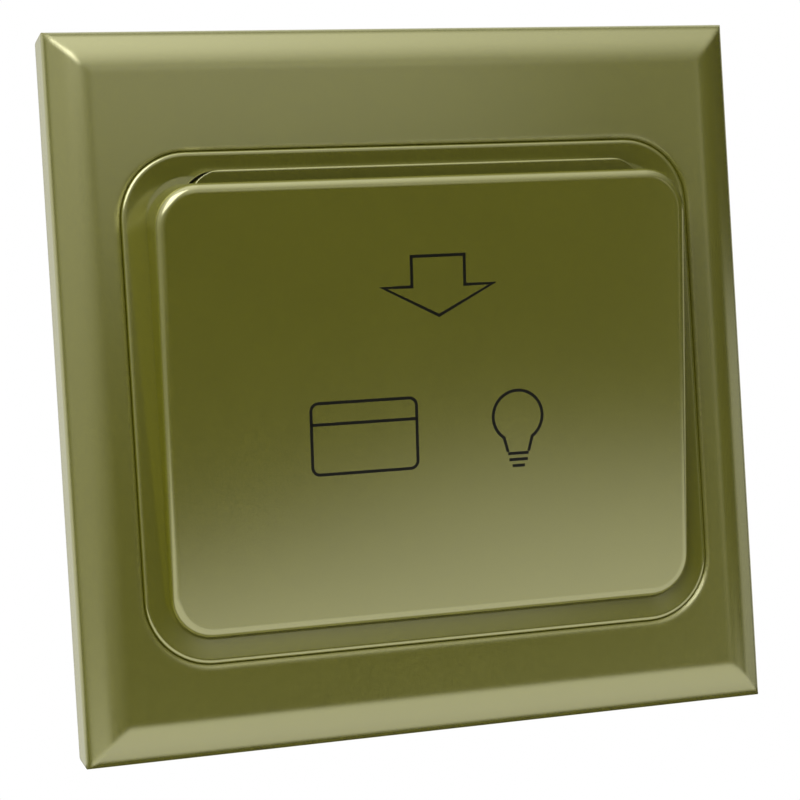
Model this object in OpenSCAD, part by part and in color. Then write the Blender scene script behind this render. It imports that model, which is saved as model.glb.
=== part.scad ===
// Key card switch for a square flush wall box.
// x runs to the right and z up. The wall is the plane y = 0 and the room lies at negative y.
// The origin is on the wall, midway between the two wall screws.
// "Out" is a distance from the wall into the room, "deep" one from the wall into the wall box.

/* [Face frame] */
// Side of the square face frame at the wall
frame_size = 86; // [84:0.5:92]
// Height of the side wall, up to the sloping border
edge_h = 5.8; // [5.2:0.1:8]
// How far the side wall leans in over its height
side_draft = 0.15; // [0.1:0.05:0.6]
// Width of the sloping border, seen from the front
bevel_w = 5; // [4.5:0.1:6]
// Slope of the border, as its rise over its run
bevel_slope = 0.75; // [0.55:0.05:0.85]
// Radius that blends the border into the flat face
bevel_blend_r = 5; // [2:0.1:5.5]
// Rounding of the outer edge, between the side wall and the border
edge_round = 2.5; // [1:0.1:2.8]
// Thickness of the side walls
frame_wall = 2; // [1.6:0.1:2.4]
// Thickness of the front wall
face_t = 2.2; // [1.8:0.1:2.6]
// Radius of the four upright corners
corner_r = 0.8; // [0.4:0.1:1.5]
// Radius of the four pegs that plug into the base plate
peg_r = 2; // [1.6:0.1:2.4]

/* [Insert ring] */
// Width of the frame left and right of the ring's opening
border_side = 7.6; // [7:0.1:8.2]
// Width of the frame above the opening
border_top = 14.65; // [14:0.05:15.5]
// Width of the frame below the opening
border_bottom = 11.35; // [10.8:0.05:12]
// Corner radius of the opening
opening_r = 8; // [7:0.1:9]
// Shadow gap round the ring
ring_gap = 0.05; // [0.05:0.05:0.3]
// Rounding of the ring's front edge
ring_fillet = 0.5; // [0.3:0.1:0.8]
// How far the ring slopes back towards the cover
ring_dish = 0.3; // [0.2:0.05:0.4]
// Width of the flange behind the face frame
flange_w = 3.2; // [2.8:0.1:3.6]
// Thickness of the flange
flange_t = 1.2; // [1:0.1:1.5]

/* [Card cover] */
// Width of the frame's opening left and right of the cover
ring_side = 3; // [2.6:0.1:3.4]
// Height of the opening below the cover
ring_foot = 3.15; // [2.8:0.05:3.6]
// Height of the opening above the cover, where the slot is
slot_room = 4.59; // [4.2:0.01:5.2]
// How far the lower edge stands out of the frame's face
cover_proud = 1.2; // [1.2:0.1:1.8]
// Lean of the cover, with its top towards the room
cover_tilt = 6.5; // [5.5:0.1:8]
// Corner radius of the cover
cover_r = 5; // [4:0.1:6]
// Rounding of the cover's front edges
cover_fillet = 1.1; // [0.5:0.1:1.1]
// Thickness of the cover's front wall
cover_wall = 1.8; // [1.5:0.1:2.1]
// Thickness of the cover's side walls
skirt_t = 1.6; // [1.3:0.1:1.8]

/* [Card pocket] */
// Distance from the cover's side to the card
card_side = 5.4; // [5:0.1:5.8]
// Thickness of the pocket that takes the card
pocket_t = 1.6; // [1.2:0.1:2]
// Room for the card at each end of the slot along the cover's top edge
slot_play = 0.6; // [0.4:0.1:1]
// Distance from the opening's top edge down to the tray's lip
lip_drop = 2.75; // [2.5:0.05:3]
// Distance from the cover's lower edge up to the tray
tray_rise = 4.1; // [3.8:0.1:4.6]
// Corner radius of the tray
tray_r = 4; // [3:0.1:5]
// Thickness of the pocket's floor
tray_t = 1.6; // [1.3:0.1:1.9]
// Thickness of the tray's walls
tray_wall = 1.4; // [1.2:0.1:1.8]

/* [Card lever and snap switch] */
// Height of the lever's pin over the plate's centre
lever_z = -4; // [-5:0.1:-3]
// Distance from the pin down to the lever's nose
nose_drop = 10; // [9.5:0.1:11]
// Distance from the pin down to the switch button
pad_drop = 6; // [5.5:0.1:6.5]
// Width of the lever
lever_w = 5.8; // [5:0.1:6.5]
// Radius of the lever's pin
pin_r = 0.75; // [0.6:0.05:0.9]
// Radius of the lever's nose
nose_r = 2.5; // [2.2:0.1:2.8]
// Length of the switch case
switch_l = 12.8; // [11.5:0.1:14]
// Width of the switch case
switch_w = 5.8; // [5:0.1:6.4]
// Depth of the switch case
switch_d = 6.5; // [6:0.1:7.5]
// Radius of the switch button
button_r = 1.3; // [1:0.1:1.6]

/* [Base plate and housing] */
// Distance between the two wall screws
wall_pitch = 60.3; // [60:0.1:62]
// Half the width of a wall screw slot
wall_slot_r = 2.25; // [2.1:0.05:2.5]
// Length of a wall screw slot
wall_slot_l = 7.5; // [6.5:0.1:8.5]
// Thickness of the base plate
web_t = 2; // [1.7:0.1:2.2]
// Height of the base plate's ribs
rim_h = 3; // [2.6:0.1:3.4]
// Room for the wall box lug, from a wall screw to the housing
lug_room = 5.15; // [4.9:0.05:5.3]
// Height of the housing
box_h = 58; // [57:0.5:60]
// Wall thickness of the housing
box_wall = 1.5; // [1.3:0.1:1.7]
// Thickness of the housing's rear wall
rear_t = 2; // [1.6:0.1:2.4]
// Corner radius of the housing
box_r = 3; // [2.2:0.1:4]

/* [Boards and relay] */
// Thickness of the circuit boards
board_t = 1.6; // [1:0.1:2]
// Width of the relay
relay_w = 19; // [18.4:0.1:20]
// Height of the relay
relay_l = 15.5; // [14.5:0.1:16.5]
// Depth of the relay
relay_d = 15; // [14.8:0.1:16]
// Radius of the relay's core
core_r = 1.6; // [1.3:0.1:1.8]
// Radius of the relay's winding
winding_r = 4.3; // [3.6:0.1:4.4]

/* [Terminals] */
// Distance from one terminal to the next
pole_pitch = 8.2; // [7.9:0.1:8.4]
// Radius of a terminal's wire hole
wire_r = 1.3; // [1.1:0.05:1.4]
// Radius of a clamp screw's shank
clamp_r = 1.5; // [1.25:0.05:1.6]
// Radius of a clamp screw's head
clamp_head_r = 2.1; // [1.9:0.05:2.3]
// How far a clamp rises
clamp_lift = 1.8; // [1.4:0.1:2.2]

/* [Hidden] */
$fn = 48;
// How far a cut runs past the faces that it opens
cut = 1;
// A length beyond every piece
span = 2 * frame_size;

GOLD = [0.56, 0.53, 0.26];
IVORY = [0.86, 0.85, 0.80];
BOARD = [0.09, 0.33, 0.20];
STEEL = [0.72, 0.72, 0.74];
BRASS = [0.78, 0.62, 0.28];
COPPER = [0.72, 0.42, 0.22];
BLACK = [0.10, 0.10, 0.11];

// Face frame
half = frame_size / 2;
front_half = half - side_draft;
bevel_angle = atan(bevel_slope);
slope_w = bevel_w - bevel_blend_r * sin(bevel_angle);
slope_rise = slope_w * bevel_slope;
face_out = edge_h + slope_rise + bevel_blend_r * (1 - cos(bevel_angle));
inner_out = face_out - face_t;
hollow_w = frame_size - 2 * frame_wall;
hollow_r = 2;
hollow_step = 3;
hollow_top_w = 2 * (front_half - hollow_step);
hollow_drop = 0.6;
hollow_out = edge_h - hollow_drop;
edge_break = 0.25;
edge_drop = edge_round * cos(bevel_angle) / (1 + sin(bevel_angle));
peg_inset = 6.5;
peg_at = half - peg_inset;
peg_tip = 0.6;
peg_slit_w = 0.8;
peg_slit_h = 3.2;
sink = 0.4;

// Insert ring
opening_w = frame_size - 2 * border_side;
opening_h = frame_size - border_top - border_bottom;
opening_z = (border_bottom - border_top) / 2;
opening_top = opening_z + opening_h / 2;
opening_bottom = opening_z - opening_h / 2;
ring_w = opening_w - 2 * ring_gap;
ring_h = opening_h - 2 * ring_gap;
ring_r = opening_r - ring_gap;
ring_edge = 0.1;
ring_land = ring_fillet + ring_edge;
dish_out = face_out - ring_dish;
dish_margin = 0.05;
dish_w = ring_side - ring_gap - ring_land - dish_margin;
flange_out = inner_out - flange_t;
flange_lap = 2;
collar_t = 0.9;
stake_r = 1;
stake_play = 0.05;
stake_head_r = 1.5;
stake_head_h = 0.8;
frame_stake_x = 20;
frame_stake_z = 16;
stake_line_x = ring_w / 2 + flange_w / 2;
stake_line_z = ring_h / 2 + flange_w / 2;
FRAME_STAKES = [
  for (i = [-1, 1], j = [-1, 1]) [i * stake_line_x, opening_z + j * frame_stake_z],
  for (i = [-1, 1], j = [-1, 1]) [i * frame_stake_x, opening_z + j * stake_line_z]
];

// Card cover and pocket, in depths behind the cover's sloping face
cover_w = opening_w - 2 * ring_side;
cover_z = opening_bottom + ring_foot;
cover_h = hundredth((opening_h - ring_foot - slot_room) / cos(cover_tilt));
foot_out = face_out + cover_proud;
pan_spare = 2;
pan_depth = (cover_proud + cover_h * sin(cover_tilt)) / cos(cover_tilt) + pan_spare;
tray_q = cover_wall + pocket_t;
tray_back_q = tray_q + tray_t;
card_w = cover_w - 2 * card_side;
slot_w = card_w + 2 * slot_play;
card_side_gap = 0.3;
guide_t = 0.8;
guide_gap = 0.3;
guide_from = 7;
guide_short = 1;
guide_to = cover_h - skirt_t - guide_short;
tray_margin = 1;
tray_w = card_w + 2 * tray_margin;
tray_top = opening_top - lip_drop;
tray_bottom = cover_z + tray_rise;
tray_h = tray_top - tray_bottom;
tray_mid = (tray_top + tray_bottom) / 2;
tray_gap = 0.3;
sill_room = 1.7;
sill_gap = 0.15;
window_w = tray_w + 2 * tray_gap;
window_top = tray_top + tray_gap;
window_bottom = tray_bottom - sill_room;
window_h = window_top - window_bottom;
window_mid = (window_top + window_bottom) / 2;
window_r = tray_r + tray_gap;
mouth_break = 0.2;
mouth_side = mouth_break * sqrt(2);
cover_stake_inset = 1.4;
cover_stake_rise = 8.5;
cover_stake_drop = 10.6;
cover_stake_x = cover_w / 2 - cover_stake_inset;
COVER_STAKES = [
  for (i = [-1, 1], z = [cover_z + cover_stake_rise, tray_top - cover_stake_drop]) [i * cover_stake_x, z]
];

// Lever and snap switch
nose_z = lever_z - nose_drop;
pad_z = lever_z - pad_drop;
nose_gap = 0.3;
nose_out = slope_out(nose_z, cover_wall) - nose_gap;
tray_back_out = slope_out(nose_z, tray_back_q);
pivot_depth = 1.65;
pivot_out = tray_back_out - pivot_depth;
hub_r = 1.8;
pin_play = 0.05;
press_play = 0.01;
arm_gap = 0.55;
arm_front = tray_back_out - arm_gap;
arm_t = 1.3;
arm_back = arm_front - arm_t;
arm_tail = 2.2;
arm_end = nose_z - arm_tail;
pad_t = 0.4;
pad_half = 0.9;
pad_out = arm_back - pad_t;
lever_gap = 0.3;
ear_t = 1.6;
ear_r = 2;
ear_in = lever_w / 2 + lever_gap;
ear_far = ear_in + ear_t;
window_side = 0.4;
window_over = 1;
window_under = 1.2;
lever_window_w = lever_w + 2 * window_side;
lever_window_top = nose_z + nose_r + window_over;
lever_window_bottom = nose_z - nose_r - window_under;
button_gap = 0.15;
button_proud = 1.15;
button_play = 0.05;
button_l = 2.5;
button_dome = 0.35;
button_hole = 2.8;
button_top = pad_out - button_gap;
switch_front = button_top - button_proud;
switch_shift = 1.6;
switch_r = 0.5;

// Base plate
plate_gap = 0.5;
plate_w = hollow_w - 2 * plate_gap;
plate_r = 3;
seat_d = 0.5;
seat_gap = 0.4;
rim_t = 1.6;
fence_gap = 0.25;
fence_t = 1.2;
socket_t = 1.7;
socket_h = 5;
peg_play = 0.05;
head_room = 4.6;
reader_window_inset = 5;
reader_window_rise = 15;
reader_window_foot = 2.4;
tray_screw_r = 1.3;
tray_screw_head_r = 2.1;
tray_screw_head_h = 1.4;
tray_screw_inset = 3.5;
tray_screw_rise = 4.9;
tray_screw_drop = 6.6;
tray_boss_r = 2.6;
tray_bore = 3.8;
tray_bore_spare = 0.4;
tray_screw_l = web_t + tray_bore - tray_bore_spare;
screw_play = 0.15;

// Housing and board stack
box_w = wall_pitch - 2 * lug_room;
inner_w = box_w - 2 * box_wall;
inner_h = box_h - 2 * box_wall;
tray_screw_x = inner_w / 2 - tray_screw_inset;
TRAY_SCREWS = [
  for (i = [-1, 1], z = [tray_bottom + tray_screw_rise, tray_top - tray_screw_drop]) [i * tray_screw_x, z]
];
reader_window_x = tray_screw_x - reader_window_inset;
reader_window_top = lever_z + reader_window_rise;
reader_window_bottom = tray_bottom + reader_window_foot;
board_gap = 0.5;
board_w = inner_w - 2 * board_gap;
board_h = inner_h - 2 * board_gap;
board_r = 1;
post_r = 3;
post_x = inner_w / 2 - post_r;
post_z = inner_h / 2 - post_r;
POSTS = [for (i = [-1, 1], j = [-1, 1]) [i * post_x, j * post_z]];
stack_screw_r = 1.2;
stack_head_r = 2.2;
stack_head_h = 1.8;
spacer_r = 2.4;
stack_gap = 1.2;
reader_deep = switch_d - switch_front;
reader_back = reader_deep + board_t;
power_deep = reader_back + stack_gap + relay_d;
power_back = power_deep + board_t;
stack_reach = 6.4;
post_bore = 7.4;
hook_x = 12;
hook_w = 10;
hook_play = 0.25;
hook_seat = 0.1;
hook_h = 1.4;
hook_catch = 1.2;
vent_w = 2;
vent_pitch = 6;
vent_from = 8;
vent_to = 22;
vents_on_top = 7;
vents_on_side = 4;
side_vents_z = 3;

// Coil on the tray's back, between the lever and the tray's upper wall
coil_gap = 1.4;
coil_screw_gap = 0.4;
coil_r = 6;
coil_band = 3;
coil_t = 1.4;
coil_w = 2 * (tray_screw_x - tray_boss_r - coil_screw_gap);
coil_from = hundredth((lever_z + ear_r + coil_gap - cover_z) / cos(cover_tilt));
coil_to = hundredth((tray_top - tray_wall - coil_gap - cover_z) / cos(cover_tilt));
coil_h = coil_to - coil_from;
coil_v = (coil_from + coil_to) / 2;
coil_back_q = tray_back_q + coil_t;
lead_r = 0.3;
lead_x = 2.5;
lead_z = cover_z + (coil_from + coil_band / 2) * cos(cover_tilt) + coil_back_q * sin(cover_tilt);
lead_gap = 0.05;

// Relay, in distances over its base towards the room
relay_gap = 4.2;
part_gap = 0.35;
relay_x = relay_w / 2 + relay_gap - inner_w / 2;
relay_z = post_z - spacer_r - part_gap - relay_l / 2;
relay_base_t = 1.8;
relay_wall = 0.8;
relay_front = power_deep - relay_d;
relay_seat = power_deep - relay_base_t;
coil_shift = 2;
coil_x = relay_x - coil_shift;
yoke_half = 4;
yoke_t = 1.2;
yoke_side = 0.5;
yoke_x = relay_x - relay_w / 2 + relay_wall + yoke_side;
bobbin_seat = 0.1;
bobbin_from = yoke_t + bobbin_seat;
bobbin_to = 9.5;
bobbin_t = 0.8;
bobbin_tube_t = 0.5;
bobbin_tube_r = core_r + bobbin_tube_t;
bobbin_rim = 0.3;
bobbin_flange_r = winding_r + bobbin_rim;
winding_gap = 0.05;
pole_top = 9.75;
pole_gap = 0.55;
armature_s = pole_top + pole_gap;
armature_t = 1;
yoke_gap = 0.1;
armature_shift = 2.4;
armature_to = relay_x + armature_shift;
armature_half = 3.5;
blade_t = 0.25;
blade_half = 2;
blade_start = 4;
blade_from = yoke_x + blade_start;
contact_inset = 3.1;
contact_x = relay_x + relay_w / 2 - contact_inset;
contact_r = 1.2;
contact_drop = 1.1;
contact_travel = 0.87;
contact_gap = 0.12;
contact_h = 0.7;
stem_half = 1;
stem_t = 0.8;

// Other parts of the power board
film_size = [18, 14, 8];
film_shift = 0.2;
film_z = -3;
film_at = [relay_x + film_shift, film_z];
film_r = 0.7;
bulk_r = 4;
bulk_d = 12;
bulk_x = 9;
bulk_drop = 7.5;
bulk_at = [bulk_x, post_z - bulk_drop];
bulk_groove_r = 0.4;
bulk_groove_h = 2;
disc_r = 4.2;
disc_t = 3.6;
disc_at = [16, 5];
disc_lift = 0.8;
disc_lead_r = 0.35;
fuse_r = 4.2;
fuse_d = 7.7;
fuse_at = [7, -4];
bridge_size = [8.3, 3.4, 6.4];
bridge_shift = 2.2;
bridge_rise = 9.5;
bridge_at = [relay_x - bridge_shift, bridge_rise - post_z];
resistor_r = 1.1;
resistor_l = 6.2;
RESISTORS = [[2, -15], [2, -18.5], [16, -3]];
resistor_lift = 0.05;
link_inset = 4.6;
link_z = -12;
link_at = [board_w / 2 - link_inset, link_z];
link_pins_n = 5;
link_pitch = 2.54;
link_w = 2.5;
link_d = 2.5;
link_pin = 0.64;
link_gap = 0.02;

// Parts of the reader board, on its back
reader_chip_size = [4.9, 1.5, 3.9];
reader_chip_at = [9, 12];
controller_size = [12.8, 2.3, 7.5];
controller_at = [7.5, -3];
crystal_size = [11, 3.4, 4.6];
crystal_at = [8, 5];
chip_leg = [0.4, 0.25, 1];
chip_leg_out = chip_leg[2] / 4;
chip_pitch = 1.27;
chip_small = [2, 0.9, 1.25];
SMALL_CHIPS = [[-8, -14], [-4, -14], [0, -14], [4, -14], [-8, -18], [-4, -18], [0, -18], [2, 12], [2, 15]];

// Terminals, in depths behind the power board
poles = 4;
cage_w = 5.6;
cage_h = 6;
cage_side = 0.9;
cage_floor = 0.9;
cage_top_t = 1.2;
cage_lift_gap = 0.3;
wire_spare = 0.2;
wire_room = 2 * wire_r + wire_spare;
bar_t = 0.8;
bar_w = 3.4;
bar_gap = 0.1;
bar_leg = 0.8;
chamber_gap = 0.3;
bar_room = 1.7;
ledge_gap = 0.2;
ledge_t = 0.7;
clamp_play = 0.1;
clamp_tip_gap = 0.05;
clamp_head_h = 1.45;
clamp_head_sink = 0.4;
clamp_slot_w = 0.8;
clamp_slot_d = 0.7;
block_h = 14;
block_foot = 3.5;
terminal_z = block_foot + block_h / 2 - inner_h / 2;
block_side = 1;
block_w = poles * pole_pitch + 2 * (block_side - (pole_pitch - cage_w - 2 * chamber_gap) / 2);
cage_from = power_back + cage_lift_gap;
wire_from = cage_from + cage_floor;
bar_from = wire_from + wire_room;
bar_to = bar_from + bar_t;
cage_inner_to = bar_to + bar_gap;
cage_to = cage_inner_to + cage_top_t;
chamber_to = cage_to + clamp_lift + ledge_gap;
head_from = chamber_to + ledge_t + clamp_tip_gap;
head_to = head_from + clamp_head_h;
block_to = head_to + clamp_head_sink;
wire_deep = wire_from + wire_room / 2;
block_gap = 0.3;
block_sink = 0.1;
bay_start = 0.4;
box_depth = block_to + block_sink;

// A size to the nearest hundredth of a millimetre
function hundredth(v) = round(v * 100) / 100;

// How far out a plane lies at height z, at depth q behind the cover's sloping face
function slope_out(z, q) = foot_out + (z - cover_z) * tan(cover_tilt) - q / cos(cover_tilt);

// Middle of a terminal, counted from the left
function pole_x(i) = (i - (poles - 1) / 2) * pole_pitch;

// Stands flat work up against the wall: x stays, y becomes up and z becomes out
module upright() {
  rotate([90, 0, 0]) children();
}

// The same on the cover's sloping face, with y running up the slope from the cover's lower edge
module on_slope() {
  translate([0, -foot_out, cover_z]) rotate([90 + cover_tilt, 0, 0]) children();
}

// An outline in (x, z) with a thickness on the room side of the wall
module out_slab(near, far) {
  upright() translate([0, 0, near]) linear_extrude(far - near) children();
}

// An outline in (x, z) with a thickness on the wall box side
module deep_slab(near, far) {
  out_slab(-far, -near) children();
}

// A round rod square to the wall, on the room side
module out_rod(x, z, near, far, r) {
  upright() translate([x, z, near]) cylinder(h = far - near, r = r);
}

// A round rod square to the wall, on the wall box side
module deep_rod(x, z, near, far, r) {
  out_rod(x, z, -far, -near, r);
}

// An outline in (y, z) with a width along x
module across(width) {
  rotate([90, 0, 90]) linear_extrude(width, center = true) children();
}

// A block between two corners
module block(low, high) {
  translate(low) cube(high - low);
}

// A block on a board's face: size along x, depth and z, centred at a place in (x, z)
module seated(at, size, deep_from) {
  block([at[0] - size[0] / 2, deep_from, at[1] - size[2] / 2],
    [at[0] + size[0] / 2, deep_from + size[1], at[1] + size[2] / 2]);
}

// A rectangle with round corners
module rounded(w, h, r) {
  square([w - 2 * r, h], center = true);
  square([w, h - 2 * r], center = true);
  for (i = [-1, 1], j = [-1, 1])
    translate([i * (w / 2 - r), j * (h / 2 - r)]) circle(r = r);
}

// A section carried round a rounded rectangle, with its x measured from the corner's centre
module swept_round(w, h, r) {
  for (turn = [0 : 3]) {
    side_x = (turn % 2 == 0 ? w : h) / 2 - r;
    side_y = (turn % 2 == 0 ? h : w) / 2 - r;
    rotate(90 * turn) translate([side_x, side_y, 0]) {
      rotate_extrude(angle = 90) children();
      rotate([90, 0, 0]) linear_extrude(2 * side_y) children();
    }
  }
}

// Section of a plate's edge with its front corner rounded
module rounded_edge(r, t, fillet) {
  square([r - fillet, t]);
  translate([r - fillet, 0]) square([fillet, t - fillet]);
  translate([r - fillet, t - fillet]) intersection() {
    circle(r = fillet);
    square(fillet);
  }
}

// A rounded plate whose front edge is rounded all the way round
module filleted_plate(w, h, r, t, fillet) {
  swept_round(w, h, r) rounded_edge(r, t, fillet);
  linear_extrude(t) square([w - 2 * r, h - 2 * r], center = true);
}

// Half of the face frame's section: leaning side wall, rounded edge, sloping border and blended face
module border_half() {
  slope_way = [sin(bevel_angle), cos(bevel_angle)];
  edge_mid = [front_half - edge_round, edge_h - edge_drop];
  polygon([
    [0, 0], [half, 0], [front_half, edge_h - edge_drop], edge_mid, edge_mid + edge_round * slope_way,
    [front_half - slope_w, edge_h + slope_rise],
    [front_half - bevel_w, face_out - bevel_blend_r], [front_half - bevel_w, face_out], [0, face_out]
  ]);
  translate(edge_mid) intersection() {
    circle(r = edge_round);
    polygon([[0, 0], [2 * edge_round, 0], 2 * edge_round * slope_way]);
  }
  translate([front_half - bevel_w, face_out - bevel_blend_r]) intersection() {
    circle(r = bevel_blend_r);
    polygon([[0, 0], [0, 2 * bevel_blend_r], 2 * bevel_blend_r * [bevel_slope, 1]]);
  }
}

module border_section() {
  border_half();
  mirror([1, 0]) border_half();
}

// The frame's outer form, with its borders mitred at the corners
module frame_form() {
  intersection() {
    rotate([90, 0, 0]) linear_extrude(frame_size + 2 * cut, center = true) border_section();
    rotate([90, 0, 90]) linear_extrude(frame_size + 2 * cut, center = true) border_section();
    linear_extrude(face_out + cut) rounded(frame_size, frame_size, corner_r);
  }
}

// A post pressed flat behind the piece that it holds, with its head at the far side of that piece
module stake(x, z, head_to, far) {
  out_rod(x, z, head_to - stake_head_h, head_to, stake_head_r);
  out_rod(x, z, head_to - sink, far, stake_r);
}

// A peg split crosswise at its tip so that it springs into its socket
module split_peg() {
  difference() {
    cylinder(h = inner_out + sink - peg_tip, r = peg_r);
    for (turn = [0, 90])
      rotate(turn) block([-peg_r - cut, -peg_slit_w / 2, -cut], [peg_r + cut, peg_slit_w / 2, peg_slit_h]);
  }
}

module face_frame() {
  color(GOLD) {
    upright() difference() {
      frame_form();
      translate([0, 0, -cut]) linear_extrude(hollow_out + cut) rounded(hollow_w, hollow_w, hollow_r);
      linear_extrude(inner_out) rounded(hollow_top_w, hollow_top_w, hollow_r);
      translate([0, opening_z, 0]) {
        linear_extrude(face_out + cut) rounded(opening_w, opening_h, opening_r);
        swept_round(opening_w, opening_h, opening_r) polygon([
          [opening_r - edge_break, face_out - 2 * edge_break],
          [opening_r + 2 * edge_break, face_out + edge_break],
          [opening_r - edge_break, face_out + edge_break]
        ]);
      }
    }
    upright() for (i = [-1, 1], j = [-1, 1])
      translate([i * peg_at, j * peg_at, peg_tip]) split_peg();
    for (at = FRAME_STAKES)
      stake(at[0], at[1], flange_out, inner_out + sink);
  }
}

// A shallow dish with sloping sides and a flat floor, to be cut out of a face
module dish(w, h, r, slope, depth) {
  swept_round(w, h, r) polygon([[0, -depth], [r - slope, -depth], [r, 0], [r, cut], [0, cut]]);
  translate([0, 0, -depth]) linear_extrude(depth + cut) square([w - 2 * r, h - 2 * r], center = true);
}

module insert_ring() {
  color(GOLD) difference() {
    upright() translate([0, opening_z, 0]) {
      difference() {
        translate([0, 0, inner_out]) filleted_plate(ring_w, ring_h, ring_r, face_t, ring_fillet);
        translate([0, 0, face_out])
          dish(ring_w - 2 * ring_land, ring_h - 2 * ring_land, ring_r - ring_land, dish_w, ring_dish);
      }
      translate([0, 0, flange_out]) linear_extrude(flange_t + sink) difference() {
        rounded(ring_w - sink, ring_h - sink, ring_r);
        rounded(ring_w - 2 * flange_lap, ring_h - 2 * flange_lap, ring_r - flange_lap);
      }
      translate([0, 0, flange_out]) linear_extrude(flange_t) difference() {
        rounded(ring_w + 2 * flange_w, ring_h + 2 * flange_w, ring_r + flange_w);
        rounded(ring_w - 2 * flange_lap, ring_h - 2 * flange_lap, ring_r - flange_lap);
      }
      translate([0, window_mid - opening_z, flange_out]) linear_extrude(flange_t + sink)
        rounded(window_w + 2 * collar_t, window_h + 2 * collar_t, window_r + collar_t);
    }
    upright() translate([0, window_mid, 0])
      linear_extrude(face_out + cut) rounded(window_w, window_h, window_r);
    for (at = concat(FRAME_STAKES, COVER_STAKES))
      out_rod(at[0], at[1], 0, face_out + cut, stake_r + stake_play);
  }
}

// The cover's pan, open at the back and along the slot, which widens behind the pocket to clear the tray
module cover_pan() {
  difference() {
    translate([0, cover_h / 2, -pan_depth])
      filleted_plate(cover_w, cover_h, cover_r, pan_depth, cover_fillet);
    translate([0, cover_h / 2, -pan_depth - cut]) linear_extrude(pan_depth + cut - cover_wall)
      rounded(cover_w - 2 * skirt_t, cover_h - 2 * skirt_t, cover_r - skirt_t);
    block([-slot_w / 2, cover_h / 2, -pan_depth - cut], [slot_w / 2, cover_h + cut, -cover_wall]);
    block([-window_w / 2, cover_h / 2, -pan_depth - cut], [window_w / 2, cover_h + cut, guide_gap - tray_q]);
  }
}

// All that lies in front of the ring's dish, and the part of its window where the cover's foot dips in
module cover_room() {
  out_slab(dish_out, span) square(span, center = true);
  translate([0, 0, window_mid]) out_slab(flange_out, dish_out + sink)
    rounded(window_w - 2 * sill_gap, window_h - 2 * sill_gap, window_r - sill_gap);
}

module card_cover() {
  guide_x = card_w / 2 + card_side_gap;
  color(GOLD) {
    intersection() {
      on_slope() cover_pan();
      cover_room();
    }
    on_slope() for (i = [0, 1])
      mirror([i, 0, 0]) block([guide_x, guide_from, guide_gap - tray_q],
        [guide_x + guide_t, guide_to, sink - cover_wall]);
    for (at = COVER_STAKES)
      stake(at[0], at[1], inner_out, slope_out(at[1], cover_wall / 2));
  }
}

// Everything deeper than q behind the cover's sloping face
module behind_slope(q) {
  on_slope() translate([-span / 2, -span / 2, -q - span]) cube(span);
}

// The tray's outline, drawn in by an inset
module tray_outline(inset) {
  translate([0, tray_mid]) rounded(tray_w - 2 * inset, tray_h - 2 * inset, tray_r - inset);
}

module card_tray() {
  pivot_top = slope_out(lever_z, tray_back_q) + sink;
  color(GOLD) difference() {
    union() {
      difference() {
        intersection() {
          out_slab(web_t, span) tray_outline(0);
          behind_slope(tray_q);
        }
        intersection() {
          out_slab(web_t - cut, span) tray_outline(tray_wall);
          behind_slope(tray_back_q);
        }
      }
      for (at = TRAY_SCREWS)
        out_rod(at[0], at[1], web_t, slope_out(at[1] - tray_boss_r, tray_back_q - sink), tray_boss_r);
      for (i = [-1, 1])
        translate([i * (ear_in + ear_t / 2), 0, 0]) {
          across(ear_t) translate([-pivot_out, lever_z]) circle(r = ear_r);
          block([-ear_t / 2, -pivot_top, lever_z - ear_r], [ear_t / 2, -pivot_out, lever_z + ear_r]);
        }
    }
    for (at = TRAY_SCREWS)
      out_rod(at[0], at[1], web_t - cut, web_t + tray_bore, tray_screw_r + press_play);
    for (i = [-1, 1])
      out_rod(i * wall_pitch / 2, 0, 0, span, head_room);
    block([-lever_window_w / 2, -span, lever_window_bottom], [lever_window_w / 2, 0, lever_window_top]);
    across(span) translate([-pivot_out, lever_z]) circle(r = pin_r + press_play);
    translate([0, -slope_out(tray_top, tray_q), tray_top]) rotate([45, 0, 0])
      cube([tray_w + 2 * cut, mouth_side, mouth_side], center = true);
    hook_room();
  }
}

// Room in front of the base plate for the housing's hooks
module hook_room() {
  low = box_h / 2 - box_wall - hook_play;
  high = box_h / 2 + hook_catch + hook_play;
  for (i = [-1, 1], j = [0, 1])
    translate([i * hook_x, 0, 0]) mirror([0, 0, j])
      block([-hook_w / 2 - hook_play, -web_t - hook_seat - hook_h - hook_play, low],
        [hook_w / 2 + hook_play, -web_t, high]);
}

// Outline of a wall screw slot
module wall_slot() {
  slot_half = wall_slot_l / 2 - wall_slot_r;
  square([2 * slot_half, 2 * wall_slot_r], center = true);
  for (i = [-1, 1])
    translate([i * slot_half, 0]) circle(r = wall_slot_r);
}

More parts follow.
